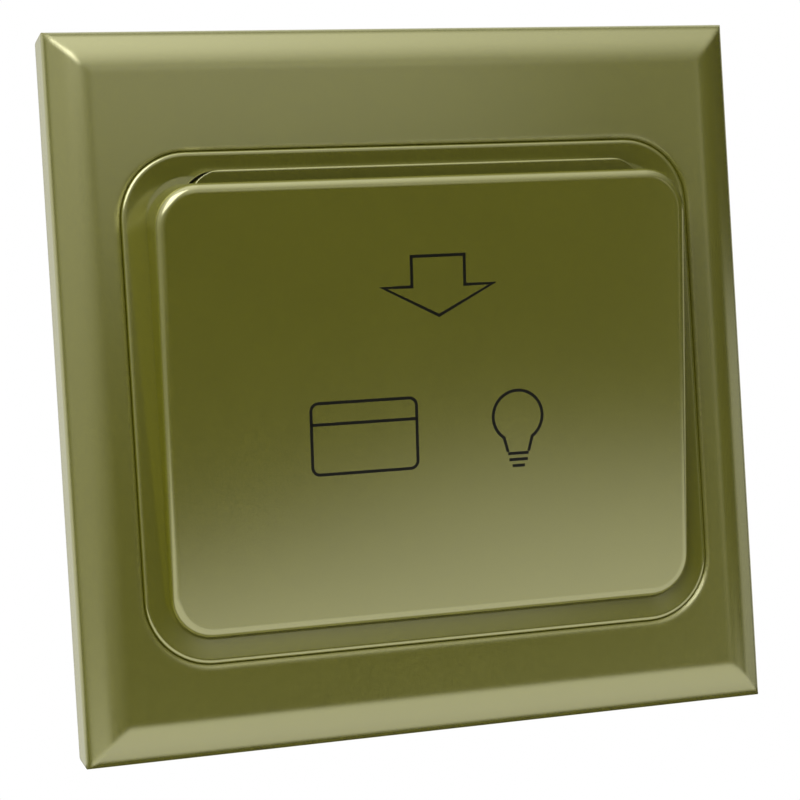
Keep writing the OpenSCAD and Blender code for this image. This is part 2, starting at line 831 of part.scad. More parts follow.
module base_plate() {
  hook_z = box_h / 2 - box_wall / 2;
  color(IVORY) difference() {
    union() {
      out_slab(0, web_t) rounded(plate_w, plate_w, plate_r);
      out_slab(0, rim_h) difference() {
        rounded(plate_w, plate_w, plate_r);
        rounded(plate_w - 2 * rim_t, plate_w - 2 * rim_t, plate_r - rim_t);
      }
      out_slab(0, rim_h) difference() {
        tray_outline(-fence_gap - fence_t);
        tray_outline(-fence_gap);
      }
      for (i = [-1, 1], j = [-1, 1])
        out_rod(i * peg_at, j * peg_at, 0, socket_h, peg_r + peg_play + socket_t);
    }
    for (i = [-1, 1]) {
      translate([i * wall_pitch / 2, 0, 0]) out_slab(-cut, rim_h) wall_slot();
      out_rod(i * wall_pitch / 2, 0, web_t, rim_h + cut, head_room);
    }
    for (i = [-1, 1], j = [-1, 1]) {
      out_rod(i * peg_at, j * peg_at, -cut, socket_h + cut, peg_r + peg_play);
      translate([i * hook_x, 0, j * hook_z]) out_slab(-cut, rim_h + cut)
        square([hook_w + 2 * hook_play, box_wall + 2 * hook_play], center = true);
    }
    for (at = TRAY_SCREWS)
      out_rod(at[0], at[1], -cut, rim_h, tray_screw_r + screw_play);
    out_slab(-cut, seat_d) rounded(box_w + 2 * seat_gap, box_h + 2 * seat_gap, box_r + seat_gap);
    block([-reader_window_x, -rim_h - cut, reader_window_bottom],
      [reader_window_x, cut, reader_window_top]);
    hook_room();
  }
}

module tray_screws() {
  color(STEEL) for (at = TRAY_SCREWS) {
    out_rod(at[0], at[1], seat_d - tray_screw_head_h, seat_d, tray_screw_head_r);
    out_rod(at[0], at[1], seat_d - tray_screw_head_h / 2, tray_screw_l, tray_screw_r);
  }
}

// A hook on the housing's rim that catches on the front of the base plate
module rim_hook() {
  top = box_h / 2;
  seat = web_t + hook_seat;
  across(hook_w) {
    translate([-seat - hook_h, top - box_wall]) square([seat + hook_h + cut, box_wall]);
    polygon([
      [-seat, top - sink], [-seat, top + hook_catch],
      [-seat - hook_h, top], [-seat - hook_h, top - sink]
    ]);
  }
}

module rear_housing() {
  inner_deep = box_depth - rear_t;
  color(IVORY) difference() {
    union() {
      difference() {
        deep_slab(-seat_d, box_depth) rounded(box_w, box_h, box_r);
        deep_slab(-cut, inner_deep) rounded(inner_w, inner_h, box_r - box_wall);
      }
      for (at = POSTS)
        deep_rod(at[0], at[1], power_back, inner_deep + sink, post_r);
      for (i = [-1, 1], j = [0, 1])
        translate([i * hook_x, 0, 0]) mirror([0, 0, j]) rim_hook();
    }
    for (at = POSTS)
      deep_rod(at[0], at[1], power_back - cut, power_back + post_bore, stack_screw_r + press_play);
    translate([0, 0, terminal_z]) deep_slab(inner_deep - cut, box_depth + cut)
      square([block_w + 2 * block_gap, block_h + 2 * block_gap], center = true);
    block([-block_w / 2 - block_gap, power_back + bay_start, -box_h / 2 - cut],
      [block_w / 2 + block_gap, box_depth + cut, terminal_z - block_h / 2]);
    for (n = [0 : vents_on_top - 1]) {
      x = (n - (vents_on_top - 1) / 2) * vent_pitch;
      block([x - vent_w / 2, vent_from, box_h / 2 - box_wall - cut],
        [x + vent_w / 2, vent_to, box_h / 2 + cut]);
    }
    for (n = [0 : vents_on_side - 1]) {
      z = side_vents_z + (n - (vents_on_side - 1) / 2) * vent_pitch;
      block([-box_w / 2 - cut, vent_from, z - vent_w / 2], [box_w / 2 + cut, vent_to, z + vent_w / 2]);
    }
  }
}

// A board of the stack, with its four screw holes
module stack_board(deep_from) {
  difference() {
    deep_slab(deep_from, deep_from + board_t) rounded(board_w, board_h, board_r);
    for (at = POSTS)
      deep_rod(at[0], at[1], deep_from - cut, deep_from + board_t + cut, stack_screw_r + screw_play);
  }
}

module reader_board() {
  color(BOARD) stack_board(reader_deep);
}

module power_board() {
  color(BOARD) stack_board(power_deep);
}

module board_spacers() {
  color(IVORY) for (at = POSTS)
    difference() {
      deep_rod(at[0], at[1], reader_back, power_deep, spacer_r);
      deep_rod(at[0], at[1], reader_back - cut, power_deep + cut, stack_screw_r + screw_play);
    }
}

module stack_screws() {
  color(STEEL) for (at = POSTS) {
    deep_rod(at[0], at[1], reader_deep - stack_head_h, reader_deep, stack_head_r);
    deep_rod(at[0], at[1], reader_deep - stack_head_h / 2, power_back + stack_reach, stack_screw_r);
  }
}

module antenna_coil() {
  color(COPPER) on_slope() translate([0, coil_v, -coil_back_q]) linear_extrude(coil_t) difference() {
    rounded(coil_w, coil_h, coil_r);
    rounded(coil_w - 2 * coil_band, coil_h - 2 * coil_band, coil_r - coil_band);
  }
}

module coil_leads() {
  color(COPPER) for (i = [-1, 1])
    out_rod(i * lead_x, lead_z, -reader_deep, slope_out(lead_z - lead_r, coil_back_q) - lead_gap, lead_r);
}

// A flat chip with a row of legs along each long side
module legged_chip(at, size, deep_from) {
  legs = floor(size[0] / chip_pitch);
  color(BLACK) seated(at, [size[0], size[1] - chip_leg[1], size[2]], deep_from + chip_leg[1]);
  color(STEEL) for (n = [0 : legs - 1], j = [-1, 1])
    seated([at[0] + (n - (legs - 1) / 2) * chip_pitch, at[1] + j * (size[2] / 2 + chip_leg_out)],
      [chip_leg[0], size[1] / 2, chip_leg[2]], deep_from);
}

module reader_chip() {
  legged_chip(reader_chip_at, reader_chip_size, reader_back);
}

module controller_chip() {
  legged_chip(controller_at, controller_size, reader_back);
}

module crystal() {
  color(STEEL) translate([crystal_at[0], 0, crystal_at[1]])
    deep_slab(reader_back, reader_back + crystal_size[1])
      rounded(crystal_size[0], crystal_size[2], crystal_size[2] / 2 - edge_break);
}

module reader_passives() {
  color(IVORY) for (at = SMALL_CHIPS)
    seated(at, chip_small, reader_back);
}

module card_lever() {
  color(BLACK) difference() {
    across(lever_w) {
      translate([-pivot_out, lever_z]) circle(r = hub_r);
      translate([-arm_front, arm_end]) square([arm_t, lever_z - arm_end]);
      translate([-arm_back, pad_z]) polygon([
        [-sink, -pad_half - pad_t], [0, -pad_half - pad_t], [pad_t, -pad_half],
        [pad_t, pad_half], [0, pad_half + pad_t], [-sink, pad_half + pad_t]
      ]);
      intersection() {
        translate([nose_r - nose_out, nose_z]) circle(r = nose_r);
        translate([-nose_out, nose_z - nose_r]) square([nose_out - arm_back, 2 * nose_r]);
      }
    }
    across(lever_w + 2 * cut) translate([-pivot_out, lever_z]) circle(r = pin_r + pin_play);
  }
}

module lever_pin() {
  color(STEEL) across(2 * ear_far) translate([-pivot_out, lever_z]) circle(r = pin_r);
}

module switch_case() {
  color(BLACK) difference() {
    translate([switch_shift, 0, pad_z])
      out_slab(-reader_deep, switch_front) rounded(switch_l, switch_w, switch_r);
    out_rod(0, pad_z, switch_front - button_hole, switch_front + cut, button_r + button_play);
  }
}

// A round plunger with a domed end
module switch_button() {
  dome_r = (button_r * button_r + button_dome * button_dome) / (2 * button_dome);
  color([0.75, 0.18, 0.14]) upright() translate([0, pad_z, button_top - button_l]) rotate_extrude() {
    square([button_r, button_l - button_dome]);
    intersection() {
      translate([0, button_l - dome_r]) circle(r = dome_r);
      translate([0, button_l - button_dome]) square([button_r, button_dome]);
    }
  }
}

module link_strip() {
  color(BLACK) seated(link_at, [link_w, link_d, link_pins_n * link_pitch], power_deep - link_d);
}

module link_pins() {
  color(BRASS) for (n = [0 : link_pins_n - 1])
    seated([link_at[0], link_at[1] + (n - (link_pins_n - 1) / 2) * link_pitch],
      [link_pin, power_deep - link_d - reader_back - link_gap, link_pin], reader_back + link_gap);
}

// A block inside the relay: from and to are distances over the relay's base, towards the room
module relay_block(x_from, x_to, z_half, from, to) {
  block([x_from, relay_seat - to, relay_z - z_half], [x_to, relay_seat - from, relay_z + z_half]);
}

// A round rod inside the relay, with the same distances
module relay_rod(x, from, to, r) {
  deep_rod(x, relay_z, relay_seat - to, relay_seat - from, r);
}

module relay_base() {
  color(BLACK) translate([relay_x, 0, relay_z]) deep_slab(relay_seat, power_deep)
    square([relay_w, relay_l], center = true);
}

module relay_cover() {
  color([0.16, 0.30, 0.55]) translate([relay_x, 0, relay_z]) difference() {
    deep_slab(relay_front, relay_seat) square([relay_w, relay_l], center = true);
    deep_slab(relay_front + relay_wall, relay_seat + cut)
      square([relay_w - 2 * relay_wall, relay_l - 2 * relay_wall], center = true);
  }
}

module relay_bobbin() {
  color(IVORY) difference() {
    union() {
      relay_rod(coil_x, bobbin_from, bobbin_from + bobbin_t, bobbin_flange_r);
      relay_rod(coil_x, bobbin_to - bobbin_t, bobbin_to, bobbin_flange_r);
      relay_rod(coil_x, bobbin_from, bobbin_to, bobbin_tube_r);
    }
    relay_rod(coil_x, bobbin_from - cut, bobbin_to + cut, core_r + pin_play);
  }
}

module relay_winding() {
  from = bobbin_from + bobbin_t + winding_gap;
  to = bobbin_to - bobbin_t - winding_gap;
  color(COPPER) difference() {
    relay_rod(coil_x, from, to, winding_r);
    relay_rod(coil_x, from - cut, to + cut, bobbin_tube_r + winding_gap);
  }
}

module relay_core() {
  color(STEEL) relay_rod(coil_x, yoke_t, pole_top, core_r);
}

module relay_yoke() {
  color(STEEL) {
    relay_block(yoke_x, coil_x + bobbin_flange_r, yoke_half, 0, yoke_t);
    relay_block(yoke_x, yoke_x + yoke_t, yoke_half, 0, armature_s - yoke_gap);
  }
}

module relay_armature() {
  color(STEEL) relay_block(yoke_x, armature_to, armature_half, armature_s, armature_s + armature_t);
}

module relay_blade() {
  top = armature_s + armature_t;
  color(COPPER) {
    relay_block(blade_from, contact_x + contact_r, blade_half, top, top + blade_t);
    relay_rod(contact_x, top - contact_drop, top + blade_t / 2, contact_r);
  }
}

module relay_contact() {
  top = armature_s + armature_t - contact_drop - contact_travel - contact_gap;
  color(COPPER) {
    relay_block(contact_x - stem_t / 2, contact_x + stem_t / 2, stem_half, 0, top - contact_h / 2);
    relay_rod(contact_x, top - contact_h, top, contact_r);
  }
}

module film_capacitor() {
  color([0.80, 0.66, 0.16]) translate([film_at[0], 0, film_at[1]])
    deep_slab(power_deep - film_size[1], power_deep) rounded(film_size[0], film_size[2], film_r);
}

// A round can with a rolled groove near its foot and a recessed end
module bulk_capacitor() {
  color(BLACK) upright() translate([bulk_at[0], bulk_at[1], -power_deep]) rotate_extrude() difference() {
    square([bulk_r, bulk_d]);
    translate([bulk_r, bulk_groove_h]) circle(r = bulk_groove_r);
    translate([0, bulk_d - bulk_groove_r]) square([bulk_r - 2 * bulk_groove_r, bulk_groove_r + cut]);
  }
}

module varistor() {
  centre_deep = power_deep - disc_lift - disc_r;
  color([0.15, 0.30, 0.55]) translate([disc_at[0], centre_deep, disc_at[1]]) rotate([0, 90, 0])
    cylinder(h = disc_t, r = disc_r, center = true);
  color(STEEL) for (i = [-1, 1])
    deep_rod(disc_at[0], disc_at[1] + i * disc_r / 2, centre_deep + disc_r / 2, power_deep, disc_lead_r);
}

module fuse() {
  color(BLACK) deep_rod(fuse_at[0], fuse_at[1], power_deep - fuse_d, power_deep, fuse_r);
}

module rectifier() {
  legged_chip(bridge_at, bridge_size, power_deep - bridge_size[1]);
}

module power_passives() {
  color([0.72, 0.62, 0.45]) for (at = RESISTORS)
    translate([at[0], power_deep - resistor_r - resistor_lift, at[1]]) rotate([0, 90, 0])
      cylinder(h = resistor_l, r = resistor_r, center = true);
}

module terminal_block() {
  bottom = terminal_z - block_h / 2;
  chamber_z = terminal_z - cage_h / 2 - chamber_gap;
  color([0.15, 0.42, 0.25]) difference() {
    translate([0, 0, terminal_z]) deep_slab(power_back, block_to) square([block_w, block_h], center = true);
    for (i = [0 : poles - 1]) {
      x = pole_x(i);
      block([x - cage_w / 2 - chamber_gap, power_back - cut, chamber_z],
        [x + cage_w / 2 + chamber_gap, chamber_to, terminal_z + cage_h / 2 + bar_room]);
      translate([x, wire_deep, bottom - cut]) cylinder(h = chamber_z - bottom + 2 * cut, r = wire_r);
      deep_rod(x, terminal_z, chamber_to - cut, block_to, clamp_r + clamp_play);
      deep_rod(x, terminal_z, chamber_to + ledge_t, block_to + cut, clamp_head_r + chamber_gap);
    }
  }
}

// A bar through each clamp, bent down to the board beside it
module terminal_bars() {
  leg_z = terminal_z + cage_h / 2 + chamber_gap;
  color(BRASS) for (i = [0 : poles - 1]) {
    x = pole_x(i);
    block([x - bar_w / 2, bar_from, terminal_z - cage_h / 2], [x + bar_w / 2, bar_to, leg_z + bar_leg]);
    block([x - bar_w / 2, power_back, leg_z], [x + bar_w / 2, bar_to, leg_z + bar_leg]);
  }
}

// A square clamp that the wire goes up through, raised by its screw
module terminal_cage(i) {
  x = pole_x(i);
  color(STEEL) difference() {
    block([x - cage_w / 2, cage_from, terminal_z - cage_h / 2],
      [x + cage_w / 2, cage_to, terminal_z + cage_h / 2]);
    block([x - cage_w / 2 + cage_side, wire_from, terminal_z - cage_h / 2 - cut],
      [x + cage_w / 2 - cage_side, cage_inner_to, terminal_z + cage_h / 2 + cut]);
    deep_rod(x, terminal_z, bar_to, cage_to + cut, clamp_r + clamp_play);
  }
}

module terminal_screw(i) {
  x = pole_x(i);
  color(STEEL) difference() {
    union() {
      deep_rod(x, terminal_z, head_from, head_to, clamp_head_r);
      deep_rod(x, terminal_z, bar_to + clamp_tip_gap, head_to - clamp_head_h / 2, clamp_r);
    }
    block([x - clamp_head_r - cut, head_to - clamp_slot_d, terminal_z - clamp_slot_w / 2],
      [x + clamp_head_r + cut, head_to + cut, terminal_z + clamp_slot_w / 2]);
  }
}

face_frame();
insert_ring();
card_cover();
card_tray();
base_plate();
tray_screws();
rear_housing();
reader_board();
antenna_coil();
coil_leads();
reader_chip();
controller_chip();
crystal();
reader_passives();
card_lever();
lever_pin();
switch_case();
switch_button();
board_spacers();
stack_screws();
power_board();
link_strip();
link_pins();
relay_base();
relay_cover();
relay_bobbin();
relay_winding();
relay_core();
relay_yoke();
relay_armature();
relay_blade();
relay_contact();
film_capacitor();
bulk_capacitor();
varistor();
fuse();
rectifier();
power_passives();
terminal_block();
terminal_bars();
terminal_cage(0);  // terminal_cage_1
terminal_cage(1);  // terminal_cage_2
terminal_cage(2);  // terminal_cage_3
terminal_cage(3);  // terminal_cage_4
terminal_screw(0);  // terminal_screw_1
terminal_screw(1);  // terminal_screw_2
terminal_screw(2);  // terminal_screw_3
terminal_screw(3);  // terminal_screw_4
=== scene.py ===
from math import cos, pi, radians, sin

import bpy
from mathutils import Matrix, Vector


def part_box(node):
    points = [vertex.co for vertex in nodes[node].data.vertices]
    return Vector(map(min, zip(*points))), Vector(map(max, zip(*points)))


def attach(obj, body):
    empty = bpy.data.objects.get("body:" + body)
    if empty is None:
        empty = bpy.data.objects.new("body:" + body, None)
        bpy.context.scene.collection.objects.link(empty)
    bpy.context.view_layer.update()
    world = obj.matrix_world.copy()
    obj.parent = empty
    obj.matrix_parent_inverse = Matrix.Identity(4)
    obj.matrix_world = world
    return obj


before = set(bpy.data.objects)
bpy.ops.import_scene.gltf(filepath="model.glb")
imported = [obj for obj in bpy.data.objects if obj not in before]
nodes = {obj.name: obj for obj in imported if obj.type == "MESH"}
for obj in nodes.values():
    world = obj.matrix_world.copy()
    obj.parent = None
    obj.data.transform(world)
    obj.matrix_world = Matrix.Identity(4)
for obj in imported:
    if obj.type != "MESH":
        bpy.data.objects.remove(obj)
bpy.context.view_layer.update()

# Rear housing and base plate: the box for the electronics and the plate that is screwed to the wall.
# Both are injection moulded in ivory ABS with a fine spark-eroded grain.
# The housing's four hooks snap over the plate's front.
MM = 0.001
FLOW = 9 * MM
PLASTIC_SWING = 0.06


def linear(colour):
    """An sRGB hex colour as linear RGBA."""
    parts = [int(colour[i:i + 2], 16) / 255 for i in (1, 3, 5)]
    return [c / 12.92 if c <= 0.04045 else ((c + 0.055) / 1.055) ** 2.4 for c in parts] + [1.0]


def add(tree, kind, settings=None, links=None):
    """Adds a shader node. Keys name its sockets, by name or number, or its own properties."""
    node = tree.nodes.new("ShaderNode" + kind)
    for key, value in (settings or {}).items():
        if isinstance(key, str) and hasattr(node, key):
            setattr(node, key, value)
        else:
            node.inputs[key].default_value = value
    for key, source in (links or {}).items():
        tree.links.new(source, node.inputs[key])
    return node


def new_material(name):
    """An empty node material, with its tree and the place of a point on the object in metres."""
    material = bpy.data.materials.new(name)
    material.use_nodes = True
    tree = material.node_tree
    tree.nodes.clear()
    place = add(tree, "TexCoord").outputs["Object"]
    return material, tree, place


def dress(material, *names):
    """Gives CAD nodes this material."""
    for name in names:
        mesh = nodes[name].data
        mesh.materials.clear()
        mesh.materials.append(material)


def moulded(name, colour, shade, grain, depth, edge, roughness, ior):
    """A moulded plastic: slow shifts of tone, an eroded grain, and corners that the mould rounds.
    Grain, depth and edge are real sizes in millimetres."""
    material, tree, place = new_material(name)
    flow = add(tree, "TexNoise", {"Scale": 1 / FLOW, "Detail": 3.0}, {"Vector": place})
    pits = add(tree, "TexNoise", {"Scale": 1 / (grain * MM), "Detail": 2.0}, {"Vector": place})
    tone = add(tree, "Mix", {"data_type": "RGBA", 6: linear(colour), 7: linear(shade)},
               {0: flow.outputs["Fac"]})
    gloss = add(tree, "MapRange", {"To Min": roughness - PLASTIC_SWING, "To Max": roughness + PLASTIC_SWING},
                {"Value": pits.outputs["Fac"]})
    corner = add(tree, "Bevel", {"samples": 4, "Radius": edge * MM})
    bump = add(tree, "Bump", {"Strength": 0.5, "Distance": depth * MM},
               {"Height": pits.outputs["Fac"], "Normal": corner.outputs["Normal"]})
    plastic = add(tree, "BsdfPrincipled", {"IOR": ior}, {
        "Base Color": tone.outputs[2], "Roughness": gloss.outputs["Result"],
        "Normal": bump.outputs["Normal"]})
    add(tree, "OutputMaterial", None, {"Surface": plastic.outputs["BSDF"]})
    return material


# ABS off a spark-eroded mould gives the eye a warm, even, slightly pearly matt.
ivory_abs = moulded("ivory_abs_spark_eroded", "#e4e0d2", "#d8d3c2",
                    grain=0.25, depth=0.012, edge=0.15, roughness=0.48, ior=1.53)
dress(ivory_abs, "rear_housing", "base_plate")

# Circuit boards: the mains board at the back of the housing and the reader board behind the pocket.
# They are glass-epoxy laminate under green solder mask, with copper tracks that show as paler lines.
# Four long screws through nylon tubes clamp the stack to the housing's posts.
MASK_GREEN = "#12472c"
TRACK_GREEN = "#1f6b45"
PAD_TIN = "#b9bcb8"
TRACK_PITCH = 1.27 * MM
TRACK_WIDTH = 0.4 * MM
TRACK_RISE = 0.035 * MM
TRACK_FLANK = 0.1
BUNDLE = 9 * MM
PAD_PITCH = 5.08 * MM
PAD_RIM = (0.1, 0.13)
BOARD_EDGE = 0.1 * MM
# A wave pattern repeats each 2 pi / 20 of its scaled length.
WAVE_STEP = pi / 10

solder_mask, tree, place = new_material("green_solder_mask")
bundles = add(tree, "TexVoronoi", {"distance": "CHEBYCHEV", "Scale": 1 / BUNDLE, "Randomness": 0.8},
              {"Vector": place})
chance = add(tree, "SeparateColor", None, {"Color": bundles.outputs["Color"]})
turned = add(tree, "Math", {"operation": "GREATER_THAN", 1: 0.5}, {0: chance.outputs["Red"]})
upright, level = [
    add(tree, "TexWave", {"bands_direction": way, "wave_profile": "TRI", "Scale": WAVE_STEP / TRACK_PITCH},
        {"Vector": place}) for way in ("X", "Z")]
run = add(tree, "Mix", None, {
    0: turned.outputs["Value"], 2: upright.outputs["Fac"], 3: level.outputs["Fac"]})
bare_share = 1 - TRACK_WIDTH / TRACK_PITCH
tracks = add(tree, "MapRange", {"From Min": bare_share, "From Max": bare_share + TRACK_FLANK},
             {"Value": run.outputs[0]})
green = add(tree, "Mix", {"data_type": "RGBA", 6: linear(MASK_GREEN), 7: linear(TRACK_GREEN)},
            {0: tracks.outputs["Result"]})
cells = add(tree, "TexVoronoi", {"Scale": 1 / PAD_PITCH, "Randomness": 0.35}, {"Vector": place})
pads = add(tree, "MapRange", {"From Min": PAD_RIM[0], "From Max": PAD_RIM[1], "To Min": 1.0, "To Max": 0.0},
           {"Value": cells.outputs["Distance"]})
tone = add(tree, "Mix", {"data_type": "RGBA", 7: linear(PAD_TIN)},
           {0: pads.outputs["Result"], 6: green.outputs[2]})
corner = add(tree, "Bevel", {"samples": 4, "Radius": BOARD_EDGE})
bump = add(tree, "Bump", {"Strength": 0.4, "Distance": TRACK_RISE},
           {"Height": tracks.outputs["Result"], "Normal": corner.outputs["Normal"]})
lacquer = add(tree, "BsdfPrincipled", {"Roughness": 0.28, "IOR": 1.5}, {
    "Base Color": tone.outputs[2], "Metallic": pads.outputs["Result"], "Normal": bump.outputs["Normal"]})
add(tree, "OutputMaterial", None, {"Surface": lacquer.outputs["BSDF"]})
# Green mask over copper gives the eye a wet gloss, bundles of tracks in a lighter green and tinned pads.
dress(solder_mask, "power_board", "reader_board")

# Board spacers: four tubes that hold the two boards apart.
# They are moulded in natural nylon, and the long screws that run through them hold them.
# Nylon gives the eye a milky, slightly waxy white.
natural_nylon = moulded("natural_nylon", "#dcd8c8", "#cdc8b5",
                        grain=0.4, depth=0.006, edge=0.1, roughness=0.42, ior=1.53)
dress(natural_nylon, "board_spacers")

# Screws and pins: the tray screws come from behind and the stack screws from the front.
# They and the lever's pin are turned from steel and zinc plated.
# The fine lines of the turning run across them.
LINE_STRETCH = (1.0, 1.0, 0.08)
LINE_DEPTH = 0.008 * MM
BLOOM_CLOUD = 2.5 * MM
METAL_EDGE = 0.08 * MM
METAL_SWING = 0.08


def plated(name, colour, bloom, line, roughness):
    """A plated or drawn metal with fine working lines, this many millimetres apart, and a cloudy bloom."""
    material, tree, place = new_material(name)
    streak = add(tree, "Mapping", {"Scale": LINE_STRETCH}, {"Vector": place})
    lines = add(tree, "TexNoise", {"Scale": 1 / (line * MM), "Detail": 2.0},
                {"Vector": streak.outputs["Vector"]})
    cloud = add(tree, "TexNoise", {"Scale": 1 / BLOOM_CLOUD, "Detail": 3.0}, {"Vector": place})
    tone = add(tree, "Mix", {"data_type": "RGBA", 6: linear(colour), 7: linear(bloom)},
               {0: cloud.outputs["Fac"]})
    gloss = add(tree, "MapRange", {"To Min": roughness - METAL_SWING, "To Max": roughness + METAL_SWING},
                {"Value": lines.outputs["Fac"]})
    corner = add(tree, "Bevel", {"samples": 4, "Radius": METAL_EDGE})
    bump = add(tree, "Bump", {"Strength": 0.3, "Distance": LINE_DEPTH},
               {"Height": lines.outputs["Fac"], "Normal": corner.outputs["Normal"]})
    metal = add(tree, "BsdfPrincipled", {"Metallic": 1.0}, {
        "Base Color": tone.outputs[2], "Roughness": gloss.outputs["Result"],
        "Normal": bump.outputs["Normal"]})
    add(tree, "OutputMaterial", None, {"Surface": metal.outputs["BSDF"]})
    return material


# Zinc plate gives the eye a soft blue-grey shine with thin lines and a faint bluish bloom.
zinc_steel = plated("zinc_plated_steel", "#bfc3c8", "#a9aeb8", line=0.15, roughness=0.3)
dress(zinc_steel, "stack_screws", "tray_screws", "lever_pin")

# Terminal block: a green polyamide moulding with four rising steel clamps and a brass bar through each.
# The block is soldered to the mains board by its bars and shows in the housing's rear cut-out.
# Each clamp's screw is turned from behind.
TERMINALS = range(1, 5)
# Glass-filled polyamide gives the eye a dry, slightly streaky surface.
green_polyamide = moulded("green_polyamide", "#2c6b45", "#235a39",
                          grain=0.5, depth=0.015, edge=0.15, roughness=0.5, ior=1.53)
dress(green_polyamide, "terminal_block")
# Rolled brass gives the eye a warm yellow shine.
rolled_brass = plated("rolled_brass", "#cda85a", "#b8924a", line=0.2, roughness=0.28)
dress(rolled_brass, "terminal_bars")
for number in TERMINALS:
    dress(zinc_steel, "terminal_cage_%d" % number, "terminal_screw_%d" % number)

# Board link: a black strip with a row of brass pins that joins the two boards.
# The pins are pressed into the moulded strip and soldered at both ends.
# Acetal and like black mouldings give the eye a deep, slightly greyed satin.
black_acetal = moulded("black_acetal", "#1b1b1d", "#252528",
                       grain=0.3, depth=0.008, edge=0.12, roughness=0.42, ior=1.48)
dress(black_acetal, "link_strip")
dress(rolled_brass, "link_pins")

# Relay: a magnet of plated steel with its armature and contacts, under a blue polyester cover.
# Its black base is soldered to the mains board, and a nylon bobbin on the core carries the winding.
# Filled polyester gives the eye a plain mid blue with a soft gloss.
blue_polyester = moulded("blue_polyester", "#2a4f86", "#234272",
                         grain=0.8, depth=0.006, edge=0.2, roughness=0.3, ior=1.55)
dress(blue_polyester, "relay_cover")
dress(black_acetal, "relay_base")
dress(natural_nylon, "relay_bobbin")
dress(zinc_steel, "relay_core", "relay_yoke", "relay_armature")
# Copper alloy strip gives the eye a red-gold shine that has dulled a little.
copper_strip = plated("copper_strip", "#c98a5e", "#b0734a", line=0.2, roughness=0.32)
dress(copper_strip, "relay_blade", "relay_contact")

# Windings: the antenna coil glued behind the pocket, with its two leads, and the relay's coil.
# Both are wound from thin enamelled copper wire, turn beside turn.
WIRE = 0.3 * MM
# Each turn takes a hair more than the wire's own width.
TURN_PITCH = 1.00531 * WIRE
# Painted shade for the grooves between turns, and painted light for their tops.
WIRE_GROOVE_PAINTED_SHADE = "#5a2f16"
WIRE_TOP_PAINTED_LIGHT = "#b4683a"


def wound_wire(name, across):
    """Turns of enamelled wire as ridges, one wire apart, with the pattern turned by these angles.
    The copper is darker in the grooves as painted shade and paler on the tops as painted light.
    """
    material, tree, place = new_material(name)
    turn = add(tree, "Mapping", {"Rotation": across}, {"Vector": place})
    turns = add(tree, "TexWave", {
        "bands_direction": "X", "Scale": WAVE_STEP / TURN_PITCH, "Distortion": 0.3},
        {"Vector": turn.outputs["Vector"]})
    # Painted shade and light: the copper darkens into each groove and pales on each top.
    tone = add(tree, "Mix", {"data_type": "RGBA", 6: linear(WIRE_GROOVE_PAINTED_SHADE), 7: linear(WIRE_TOP_PAINTED_LIGHT)},
               {0: turns.outputs["Fac"]})
    bump = add(tree, "Bump", {"Strength": 0.8, "Distance": WIRE / 2}, {"Height": turns.outputs["Fac"]})
    wire = add(tree, "BsdfPrincipled", {"Metallic": 0.8, "Roughness": 0.3}, {
        "Base Color": tone.outputs[2], "Normal": bump.outputs["Normal"]})
    add(tree, "OutputMaterial", None, {"Surface": wire.outputs["BSDF"]})
    return material


# Enamelled wire gives the eye fine ridges of brown copper with a varnish shine.
# The grooves between turns carry painted shade, and the tops carry painted light.
dress(wound_wire("enamelled_wire_coil", (0, 0, 0)), "antenna_coil")
dress(wound_wire("enamelled_wire_relay", (0, 0, radians(90))), "relay_winding")
dress(copper_strip, "coil_leads")

# Chips: the reader chip, the controller and the rectifier, black epoxy bodies with tinned legs.
# They are moulded round a lead frame and soldered to their boards.
EPOXY = "#1c1c1e"
EPOXY_PALE = "#2c2c2f"
EPOXY_PIT = 0.12 * MM
EPOXY_DEPTH = 0.01 * MM
EPOXY_ROUGHNESS = 0.62
LEG_TIN = "#c3c4c2"
LEG_ROUGHNESS = 0.35


def epoxy_chip(node, body_share):
    """Dresses a chip: epoxy over this share of its height, and tinned legs above and below that."""
    low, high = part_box(node)
    middle = (low.z + high.z) / 2
    half = (high.z - low.z) / 2 * body_share
    material, tree, place = new_material("epoxy_and_tin_" + node)
    height = add(tree, "SeparateXYZ", None, {"Vector": place})
    offset = add(tree, "Math", {"operation": "SUBTRACT", 1: middle}, {0: height.outputs["Z"]})
    reach = add(tree, "Math", {"operation": "ABSOLUTE"}, {0: offset.outputs["Value"]})
    leg = add(tree, "Math", {"operation": "GREATER_THAN", 1: half}, {0: reach.outputs["Value"]})
    pits = add(tree, "TexNoise", {"Scale": 1 / EPOXY_PIT, "Detail": 2.0}, {"Vector": place})
    epoxy = add(tree, "Mix", {"data_type": "RGBA", 6: linear(EPOXY), 7: linear(EPOXY_PALE)},
                {0: pits.outputs["Fac"]})
    tone = add(tree, "Mix", {"data_type": "RGBA", 7: linear(LEG_TIN)},
               {0: leg.outputs["Value"], 6: epoxy.outputs[2]})
    gloss = add(tree, "MapRange", {"To Min": EPOXY_ROUGHNESS, "To Max": LEG_ROUGHNESS},
                {"Value": leg.outputs["Value"]})
    bump = add(tree, "Bump", {"Strength": 0.4, "Distance": EPOXY_DEPTH}, {"Height": pits.outputs["Fac"]})
    body = add(tree, "BsdfPrincipled", {"IOR": 1.55}, {
        "Base Color": tone.outputs[2], "Metallic": leg.outputs["Value"],
        "Roughness": gloss.outputs["Result"], "Normal": bump.outputs["Normal"]})
    add(tree, "OutputMaterial", None, {"Surface": body.outputs["BSDF"]})
    dress(material, node)


# Moulded epoxy gives the eye a dry, finely pitted black beside the bright legs.
epoxy_chip("reader_chip", body_share=0.8)
epoxy_chip("controller_chip", body_share=0.88)
epoxy_chip("rectifier", body_share=0.85)

